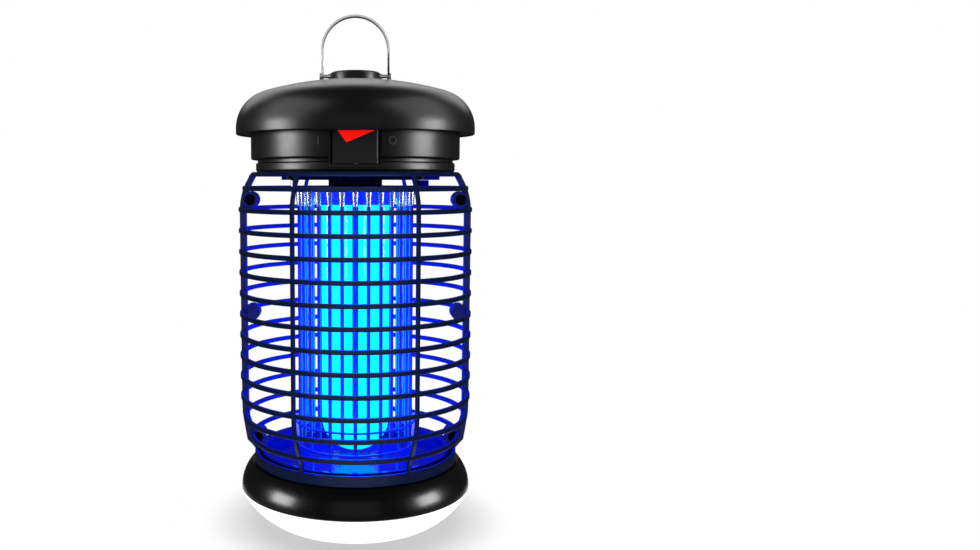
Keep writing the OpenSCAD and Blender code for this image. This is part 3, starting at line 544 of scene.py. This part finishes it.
hoop_heights = [HOOP_FIRST + (HOOP_LAST - HOOP_FIRST) / (HOOPS - 1) * i for i in range(HOOPS)]
hoops = sector("hoops", 72, 180, *[hoop_outline(z) for z in hoop_heights])
soften(hoops, 0.55)
foot_ring = sector("foot_ring", 72, 180, [(RING_IN_R, SEAM_Z), (RING_R, SEAM_Z), (RING_R, RING_TOP),
                                          (RING_IN_R, RING_TOP)])
soften(foot_ring, 0.5)
top_ring = sector("top_ring", 72, 180, [(51.2, 205), (62.4, 205), (post_r(206.2), 206.2),
                                        (post_r(TOP_Z) - 0.4, TOP_Z), (51.2, TOP_Z)])
soften(top_ring, 0.4)
posts = [plate("post", post_outline(0, POST_T), POST_W, angle) for angle in (-30, 30)]
seam_side = ([(RING_IN_R, RING_TOP - 1), (RING_R, RING_TOP - 1), (62.6, 45), (65, 47.6), (65.6, 51),
              (66.6, 57), (67.7, 64), (CAGE_R, 71)]
             + [(post_r(z), z) for z in high_steps] + [(post_r(TOP_Z), TOP_Z)]
             + [(post_r(TOP_Z) - SEAM_DEPTH, TOP_Z)]
             + [(post_r(z) - SEAM_DEPTH, z) for z in high_steps[::-1]]
             + [(CAGE_R - SEAM_DEPTH, 72), (63.5, 62), (61, 53), (58.8, 47.6), (RING_IN_R, 44.5)])
ribs = [plate("rib", seam_side, HALF_SEAM, side * 90, at=side * HALF_SEAM / 2 * -1) for side in (-1, 1)]
for part in posts + ribs:
    soften(part, 0.45, angle=50)

BOSS_R, BOSS_D = 4.8, 7
SCREW_BOSSES = ((61.3, 191.6), (58.4, 50.4))
RECESS_R, RECESS_D = 3.1, 2
MIDDLE_X, MIDDLE_Z = 61.3, hoop_heights[6]
CATCH_R, CATCH_Z = 56.9, 38.2


def screw_boss(x, z, depth, recessed):
    """A round boss on the seam; the front ones are sunk for the screw's head."""
    boss = rod("boss", BOSS_R, (x, 0, z), (x, depth, z), 40)
    if recessed:
        bpy.ops.object.mode_set(mode="EDIT")
        bpy.ops.mesh.select_all(action="DESELECT")
        bpy.ops.object.mode_set(mode="OBJECT")
        for face in boss.data.polygons:
            face.select = face.center.y < (depth + 0.1) * MM
        bpy.ops.object.mode_set(mode="EDIT")
        bpy.ops.mesh.inset(thickness=(BOSS_R - RECESS_R) * MM)
        bpy.ops.mesh.extrude_region_move(TRANSFORM_OT_translate={"value": (0, RECESS_D * MM, 0)})
        settle(boss)
    soften(boss, 0.4)
    return boss


def catches(turns):
    """Bayonet catches inside the foot ring, each between two stops."""
    parts = []
    for turn in turns:
        for middle_turn, span, height in ((turn, 14, 1.7), (turn - 9, 2, 4.6), (turn + 31, 2, 4.6)):
            section = [(CATCH_R, CATCH_Z), (RING_IN_R + 0.3, CATCH_Z),
                       (RING_IN_R + 0.3, CATCH_Z + height), (CATCH_R, CATCH_Z + height)]
            part = sector("catch", 6, span, section, start=middle_turn - 90 + span / 2)
            soften(part, 0.2)
            parts.append(part)
    return parts


def copied(part):
    """A copy with its own mesh, half a turn round the lantern's axis."""
    twin = part.copy()
    twin.data = part.data.copy()
    bpy.context.scene.collection.objects.link(twin)
    twin.data.transform(Matrix.Rotation(math.pi, 4, "Z"))
    return twin


frame_parts = [hoops, foot_ring, top_ring] + posts + ribs
rear_frame = [copied(part) for part in frame_parts]
front_bosses = [screw_boss(side * x, z, -BOSS_D, True) for x, z in SCREW_BOSSES for side in (-1, 1)]
front_bosses += [screw_boss(side * MIDDLE_X, MIDDLE_Z, -HALF_SEAM, False) for side in (-1, 1)]
front_shell = united("cage_front_shell", frame_parts + front_bosses + catches([0]))

spine_steps = [44.6] + low_steps + high_steps + [TOP_Z]
spine = [plate("spine", post_outline(0.3, 2.2, spine_steps), 7.6, 180)]
spine += [plate("spine", post_outline(0.3, 5, spine_steps), 1.3, 180, at=side * 3.15)
          for side in (-1, 1)]
for part in spine:
    soften(part, 0.35, angle=50)
rear_bosses = [screw_boss(side * x, z, BOSS_D, False) for x, z in SCREW_BOSSES + ((MIDDLE_X, MIDDLE_Z),)
               for side in (-1, 1)]
rear_shell = united("cage_rear_shell", rear_frame + spine + rear_bosses + catches([120, 240]))

# Navy with a clear gloss on every rounded edge.
navy_abs = finish("navy_abs", ("#223e8a", "#284696"), (0.26, 0.36), 1.2, 0.008, ior=1.53)
for shell, node in ((front_shell, "cage_front"), (rear_shell, "cage_rear")):
    shell.data.materials.clear()
    shell.data.materials.append(navy_abs)
    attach(shell, "housing")
    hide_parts(node)
# Oxidised steel: near black with a dim metallic shine.
black_steel = finish("blackened_steel", ("#15161a", "#1d1e22"), (0.3, 0.4), 0.6, 0.006, metallic=1.0)
dress(black_steel, "cage_screws", "neck_screws")

# ---- Insect tray ----
# A dish with a folded rim, moulded in blue ABS against a polished mould so that dead insects slide
# out. It lies in the base's collar.
TRAY_WALL = 54.7
tray = turned("tray_dish", [(0, 35.9), (TRAY_WALL - 1, 35.9), (TRAY_WALL, 36.9), (TRAY_WALL, 42.7),
                            (56.6, 42.7)]
              + arc((56.1, 43.3), 0.5, 0, 90, 4) + arc((TRAY_WALL - 1.0, 43.3), 0.5, 90, 180, 4)
              + [(TRAY_WALL - 1.5, 39.4)] + arc((TRAY_WALL - 3.5, 39.4), 2.0, 0, -90, 6) + [(0, 37.4)])
bpy.ops.object.shade_smooth_by_angle(angle=math.radians(40))
# Polished mould: almost a mirror, so the cage shows in the dish.
tray_abs = finish("polished_blue_abs", ("#14288a", "#182e94"), (0.05, 0.1), 3, 0.004, ior=1.53)
tray.data.materials.append(tray_abs)
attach(tray, "base")
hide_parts("insect_tray")

# ---- Base shell ----
# Round-flanked skirt of black ABS, polished a little brighter than the cap, with the bayonet
# collar that locks in the cage's foot ring.
BASE_R, FLANK_R, BOWL_H = 68.3, 23, 21
BASE_TOP, BASE_WALL, DECK_Z = 36.8, 2.4, 33.6
flank = (BASE_R - FLANK_R, BOWL_H)
outer_end = math.degrees(math.asin((BASE_TOP - BOWL_H) / FLANK_R))
inner_end = math.degrees(math.asin((DECK_Z - BOWL_H) / (FLANK_R - BASE_WALL)))
base = turned("base_skirt", [(0, DECK_Z)] + arc(flank, FLANK_R - BASE_WALL, inner_end, 0, 10)
              + [(BASE_R - BASE_WALL, BOWL_H - 0.05)]
              + arc((BASE_R - 0.7, BOWL_H + 0.65), 0.7, -90, 0, 4)
              + arc(flank, FLANK_R, 1.8, outer_end, 22)
              + [(56.5, BASE_TOP), (56.5, 42.6), (55.1, 42.6), (55.1, 35.6), (0, 35.6)])
bpy.ops.object.shade_smooth_by_angle(angle=math.radians(40))
LUG_SPAN = 14
lug_section = [(56, 40.05), (58, 40.05), (58, 41.85), (56, 41.85)]
lugs = [sector("lug", 8, LUG_SPAN, lug_section, start=-90 + LUG_SPAN / 2 + turn)
        for turn in (0, 120, 240)]
for lug in lugs:
    soften(lug, 0.3)
base = united("base_skirt", [base] + lugs)
# Brighter polish than the cap: tighter highlights on deeper black.
gloss_abs = finish("gloss_black_abs", ("#080809", "#0c0c0d"), (0.2, 0.27), 1.0, 0.004, ior=1.53)
base.data.materials.clear()
base.data.materials.append(gloss_abs)
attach(base, "base")
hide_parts("base_shell")

# ---- Night light diffuser ----
# A shallow bowl of opal polycarbonate, pushed up into the base against its seal and lit from
# inside by the ring of white LEDs.
def bowl_side(r0, r1, z0, z1, count=20):
    """Quarter of a squared ellipse from the foot to the upper edge."""
    squareness = 1.44
    turns = [math.pi / 2 * i / count for i in range(count + 1)]
    return [(r0 + (r1 - r0) * math.sin(t) ** squareness,
             z0 + (z1 - z0) * (1 - math.cos(t) ** squareness)) for t in turns]


bowl = turned("opal_bowl", [(0, 0.8), (30, 0.8), (31, 0)] + bowl_side(45, 67.7, 0, 20.65)
              + [(67.3, 20.85), (65.4, 20.85), (65.4, 24.9), (63.2, 24.9)]
              + bowl_side(44, 65.1, 2.3, 20.45)[::-1] + [(0, 2.3)])
bpy.ops.object.shade_smooth_by_angle(angle=math.radians(40))
# Milky sheet that spreads the LEDs' light until the whole bowl is one even white.
opal = finish("opal_polycarbonate", ("#f4f6f8", "#fbfcfd"), (0.3, 0.4), 2.0, 0.004, glow="#ffffff",
              strength=0.95)
bowl.data.materials.append(opal)
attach(bowl, "base")
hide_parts("diffuser")

# ---- Light of the ultraviolet lamp ----
# Small blue sources stand in for the light that the phosphor gives: those close to the tube light
# the cage and the tray, those outside the grid its wires and the blue pieces above it.
def reach(name, pieces, keep_off=False):
    """A collection that makes a light reach only the pieces, or all but them."""
    group = bpy.data.collections.new(name)
    for piece in pieces:
        group.objects.link(piece)
    if keep_off:
        for member in group.collection_objects:
            member.light_linking.link_state = "EXCLUDE"
    return group


def blue_source(name, place, watts, group):
    """One small blue source, its place in mm."""
    source = bpy.data.lights.new(name, "POINT")
    source.energy = watts
    source.color = (0.0, 0.004, 1.0)
    source.shadow_soft_size = 4 * MM
    light = bpy.data.objects.new(name, source)
    light.location = Vector(place) * MM
    light.visible_camera = False
    light.light_linking.receiver_collection = group
    bpy.context.scene.collection.objects.link(light)


wires = [nodes[n] for n in ("grid_live", "grid_neutral", "wire_ferrules", "grid_spacers")]
blue_above = [nodes[n] for n in ("lamp_base", "lamp_socket", "upper_insulator", "wiring_cover",
                                 "hv_terminal")]
near_cage = reach("lit_inside_cage", [front_shell, rear_shell, tray])
near_grid = reach("lit_at_grid", wires + blue_above)
for level in (66, 92, 118, 144, 170):
    for x, y in ((25, 0), (0, 13), (-25, 0), (0, -13)):
        blue_source(f"tube_glow_{level}_{x}_{y}", (x, y, level), 0.045, near_cage)
    for turn in range(0, 360, 60):
        a = math.radians(turn)
        blue_source(f"wire_glow_{level}_{turn}", (46 * math.sin(a), -46 * math.cos(a), level), 0.06,
                    near_grid)

# ---- Which light falls on what ----
# The side panels stay off the blue pieces, which the lamp lights, and the overhead one is for the
# paper. The cage has a wide dim panel in front and one above, and the bail a small one.
shades = [floor, near_floor, front_shell, rear_shell, tray, nodes["grid_live"],
          nodes["grid_neutral"]] + blue_above
off_blue = reach("off_blue_pieces", shades, keep_off=True)
off_base = reach("off_blue_pieces_and_base", shades + [base], keep_off=True)
for light in studio:
    high = light.name.startswith("panel_high")
    light.light_linking.receiver_collection = off_base if high else off_blue
paper_only = reach("paper_only", [floor, near_floor])
cage_only = reach("cage_only", [front_shell, rear_shell])
bail_only = reach("bail_only", [bail, nodes["bail_pins"]])
for light, group in (
        (panel("panel_paper", (0, 0.3, 1.6), (1.6, 1.4), 18, aim=(0, 0, 0)), paper_only),
        (panel("panel_cage", (0, -1.5, 0.3), (2.6, 2.2), 4.5), cage_only),
        (panel("panel_cage_top", (0, -0.2, 1.5), (1.4, 0.8), 5, aim=(0, 0, 0.1)), cage_only),
        (panel("panel_bail", (0, -1.2, 0.55), (1.6, 0.9), 3.5, aim=(0, 0, 0.28)), bail_only)):
    light.light_linking.receiver_collection = group
